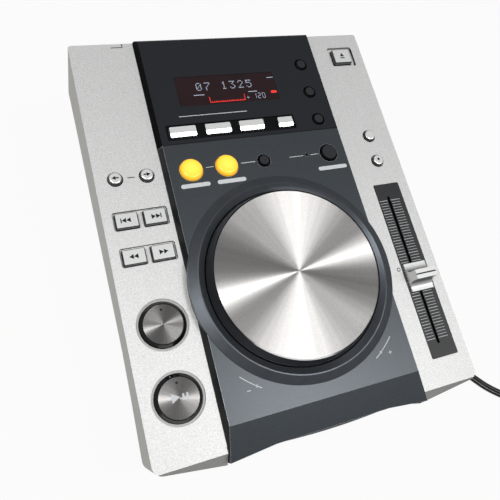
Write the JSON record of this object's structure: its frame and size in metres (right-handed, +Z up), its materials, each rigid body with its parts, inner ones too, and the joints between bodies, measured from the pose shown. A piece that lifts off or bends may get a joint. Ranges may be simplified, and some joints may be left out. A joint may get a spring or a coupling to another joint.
{
  "type": "tabletop disc player",
  "caption": "Sloping tabletop disc player for mixing, with a large jog wheel, a tempo slider, cue and play buttons, a display and a front disc slot.",
  "frame": {"origin": "on the table, under the middle of the player's bounding box", "axes": "+Z up, +Y from the user towards the rear panel, +X to the user's right"},
  "size_m": [0.3451, 0.4814, 0.1074],
  "materials": {
    "silver_paint": "satin metallic paint",
    "charcoal_paint": "satin metallic paint",
    "black_plastic": "fine grained",
    "gloss_black": "polished",
    "spun_metal": "spun",
    "steel": "bright",
    "zinc_sheet": "zinc plated",
    "black_sheet": "fine textured paint",
    "rubber": "matt",
    "amber_key": "translucent",
    "grey_key": "satin",
    "silver_key": "satin metallic paint",
    "tinted_window": "tinted",
    "board": "lacquered",
    "module": "polished",
    "core": "varnished",
    "jack_metal": "nickel plated",
    "cord_rubber": "matt"
  },
  "bodies": {
    "case": {"top_casing": "silver_paint", "bottom_chassis": "zinc_sheet", "rubber_feet": "rubber", "casing_screws": "steel", "centre_fascia": "charcoal_paint", "display_panel": "charcoal_paint", "display_window": "tinted_window", "display_module": "module", "slot_panel": "black_plastic", "jog_collar": "black_plastic", "jog_base": "black_plastic", "tempo_scale_plate": "black_plastic", "tempo_fader": "black_plastic", "side_key_boards": "board", "centre_key_board": "board", "rear_panel": "black_sheet", "rear_jacks": "jack_metal", "power_switch": "black_plastic", "main_board": "board", "power_board": "board", "mains_transformer": "core", "drive_chassis": "zinc_sheet", "drive_dampers": "rubber", "spindle_motor": "steel", "sled_rails": "steel", "cord_grip": "cord_rubber", "cord_lead": "cord_rubber", "cord_coil": "cord_rubber", "plug_body": "cord_rubber", "plug_blades": "jack_metal"},
    "jog_wheel": {"jog_ring": "gloss_black", "jog_plate": "spun_metal", "jog_spindle": "steel"},
    "tempo_slider": {"tempo_knob": "silver_key"},
    "power_key": {"power_button": "black_plastic"},
    "turntable": {"disc_hub": "black_plastic"},
    "sled": {"laser_sled": "black_plastic"},
    "roller": {"loading_roller": "rubber"},
    "folder_back_key": {"folder_back_button": "silver_key"},
    "folder_forward_key": {"folder_forward_button": "silver_key"},
    "tempo_range_key": {"tempo_range_button": "silver_key"},
    "tempo_lock_key": {"tempo_lock_button": "silver_key"},
    "text_key": {"text_button": "grey_key"},
    "time_key": {"time_button": "grey_key"},
    "auto_cue_key": {"auto_cue_button": "grey_key"},
    "loop_in_key": {"loop_in_button": "amber_key"},
    "loop_out_key": {"loop_out_button": "amber_key"},
    "loop_exit_key": {"loop_exit_button": "grey_key"},
    "beat_loop_key": {"beat_loop_button": "grey_key"},
    "track_back_key": {"track_back_button": "grey_key"},
    "track_forward_key": {"track_forward_button": "grey_key"},
    "search_back_key": {"search_back_button": "grey_key"},
    "search_forward_key": {"search_forward_button": "grey_key"},
    "eject_key": {"eject_button": "grey_key"},
    "jet_key": {"jet_button": "grey_key"},
    "filter_key": {"filter_button": "grey_key"},
    "wah_key": {"wah_button": "grey_key"},
    "hold_key": {"hold_button": "grey_key"},
    "cue_key": {"cue_button": "gloss_black"},
    "play_key": {"play_button": "gloss_black"}
  },
  "joints": [
    {"name": "jog_turn", "type": "hinge", "parent": "case", "child": "jog_wheel", "pos_m": [0, -0.04929, 0.07217], "axis": [0, -0.1736, 0.9848], "continuous": true},
    {"name": "tempo_slide", "type": "slide", "parent": "case", "child": "tempo_slider", "axis": [0, 0.9848, 0.1736], "range_m": [-0.0425, 0.0549]},
    {"name": "power_press", "type": "slide", "parent": "case", "child": "power_key", "axis": [0, -0.9848, -0.1736], "range_m": [0, 0.003], "stiffness_N_per_m": 400, "springref_m": -0.0008},
    {"name": "disc_turn", "type": "hinge", "parent": "case", "child": "turntable", "pos_m": [0, -0.04323, 0.022], "axis": [0, 0, 1], "continuous": true},
    {"name": "sled_slide", "type": "slide", "parent": "case", "child": "sled", "axis": [1, 0, 0], "range_m": [0, 0.032]},
    {"name": "roller_turn", "type": "hinge", "parent": "case", "child": "roller", "pos_m": [0, -0.11523, 0.0232], "axis": [1, 0, 0], "continuous": true},
    {"name": "folder_back_press", "type": "slide", "parent": "case", "child": "folder_back_key", "axis": [0, 0.1736, -0.9848], "range_m": [0, 0.0006], "stiffness_N_per_m": 400, "springref_m": -0.0005},
    {"name": "folder_forward_press", "type": "slide", "parent": "case", "child": "folder_forward_key", "axis": [0, 0.1736, -0.9848], "range_m": [0, 0.0006], "stiffness_N_per_m": 400, "springref_m": -0.0005},
    {"name": "tempo_range_press", "type": "slide", "parent": "case", "child": "tempo_range_key", "axis": [0, 0.1736, -0.9848], "range_m": [0, 0.0006], "stiffness_N_per_m": 400, "springref_m": -0.0005},
    {"name": "tempo_lock_press", "type": "slide", "parent": "case", "child": "tempo_lock_key", "axis": [0, 0.1736, -0.9848], "range_m": [0, 0.0006], "stiffness_N_per_m": 400, "springref_m": -0.0005},
    {"name": "text_press", "type": "slide", "parent": "case", "child": "text_key", "axis": [0, 0.1736, -0.9848], "range_m": [0, 0.0006], "stiffness_N_per_m": 400, "springref_m": -0.0005},
    {"name": "time_press", "type": "slide", "parent": "case", "child": "time_key", "axis": [0, 0.1736, -0.9848], "range_m": [0, 0.0006], "stiffness_N_per_m": 400, "springref_m": -0.0005},
    {"name": "auto_cue_press", "type": "slide", "parent": "case", "child": "auto_cue_key", "axis": [0, 0.1736, -0.9848], "range_m": [0, 0.0006], "stiffness_N_per_m": 400, "springref_m": -0.0005},
    {"name": "loop_in_press", "type": "slide", "parent": "case", "child": "loop_in_key", "axis": [0, 0.1736, -0.9848], "range_m": [0, 0.0006], "stiffness_N_per_m": 400, "springref_m": -0.0005},
    {"name": "loop_out_press", "type": "slide", "parent": "case", "child": "loop_out_key", "axis": [0, 0.1736, -0.9848], "range_m": [0, 0.0006], "stiffness_N_per_m": 400, "springref_m": -0.0005},
    {"name": "loop_exit_press", "type": "slide", "parent": "case", "child": "loop_exit_key", "axis": [0, 0.1736, -0.9848], "range_m": [0, 0.0006], "stiffness_N_per_m": 400, "springref_m": -0.0005},
    {"name": "beat_loop_press", "type": "slide", "parent": "case", "child": "beat_loop_key", "axis": [0, 0.1736, -0.9848], "range_m": [0, 0.0006], "stiffness_N_per_m": 400, "springref_m": -0.0005},
    {"name": "track_back_press", "type": "slide", "parent": "case", "child": "track_back_key", "axis": [0, 0.1736, -0.9848], "range_m": [0, 0.0006], "stiffness_N_per_m": 400, "springref_m": -0.0005},
    {"name": "track_forward_press", "type": "slide", "parent": "case", "child": "track_forward_key", "axis": [0, 0.1736, -0.9848], "range_m": [0, 0.0006], "stiffness_N_per_m": 400, "springref_m": -0.0005},
    {"name": "search_back_press", "type": "slide", "parent": "case", "child": "search_back_key", "axis": [0, 0.1736, -0.9848], "range_m": [0, 0.0006], "stiffness_N_per_m": 400, "springref_m": -0.0005},
    {"name": "search_forward_press", "type": "slide", "parent": "case", "child": "search_forward_key", "axis": [0, 0.1736, -0.9848], "range_m": [0, 0.0006], "stiffness_N_per_m": 400, "springref_m": -0.0005},
    {"name": "eject_press", "type": "slide", "parent": "case", "child": "eject_key", "axis": [0, 0.1736, -0.9848], "range_m": [0, 0.0006], "stiffness_N_per_m": 400, "springref_m": -0.0005},
    {"name": "jet_press", "type": "slide", "parent": "case", "child": "jet_key", "axis": [0, 0.1736, -0.9848], "range_m": [0, 0.0006], "stiffness_N_per_m": 400, "springref_m": -0.0005},
    {"name": "filter_press", "type": "slide", "parent": "case", "child": "filter_key", "axis": [0, 0.1736, -0.9848], "range_m": [0, 0.0006], "stiffness_N_per_m": 400, "springref_m": -0.0005},
    {"name": "wah_press", "type": "slide", "parent": "case", "child": "wah_key", "axis": [0, 0.1736, -0.9848], "range_m": [0, 0.0006], "stiffness_N_per_m": 400, "springref_m": -0.0005},
    {"name": "hold_press", "type": "slide", "parent": "case", "child": "hold_key", "axis": [0, 0.1736, -0.9848], "range_m": [0, 0.0006], "stiffness_N_per_m": 400, "springref_m": -0.0005},
    {"name": "cue_press", "type": "slide", "parent": "case", "child": "cue_key", "axis": [0, 0.1736, -0.9848], "range_m": [0, 0.0006], "stiffness_N_per_m": 400, "springref_m": -0.0005},
    {"name": "play_press", "type": "slide", "parent": "case", "child": "play_key", "axis": [0, 0.1736, -0.9848], "range_m": [0, 0.0006], "stiffness_N_per_m": 400, "springref_m": -0.0005}
  ]
}
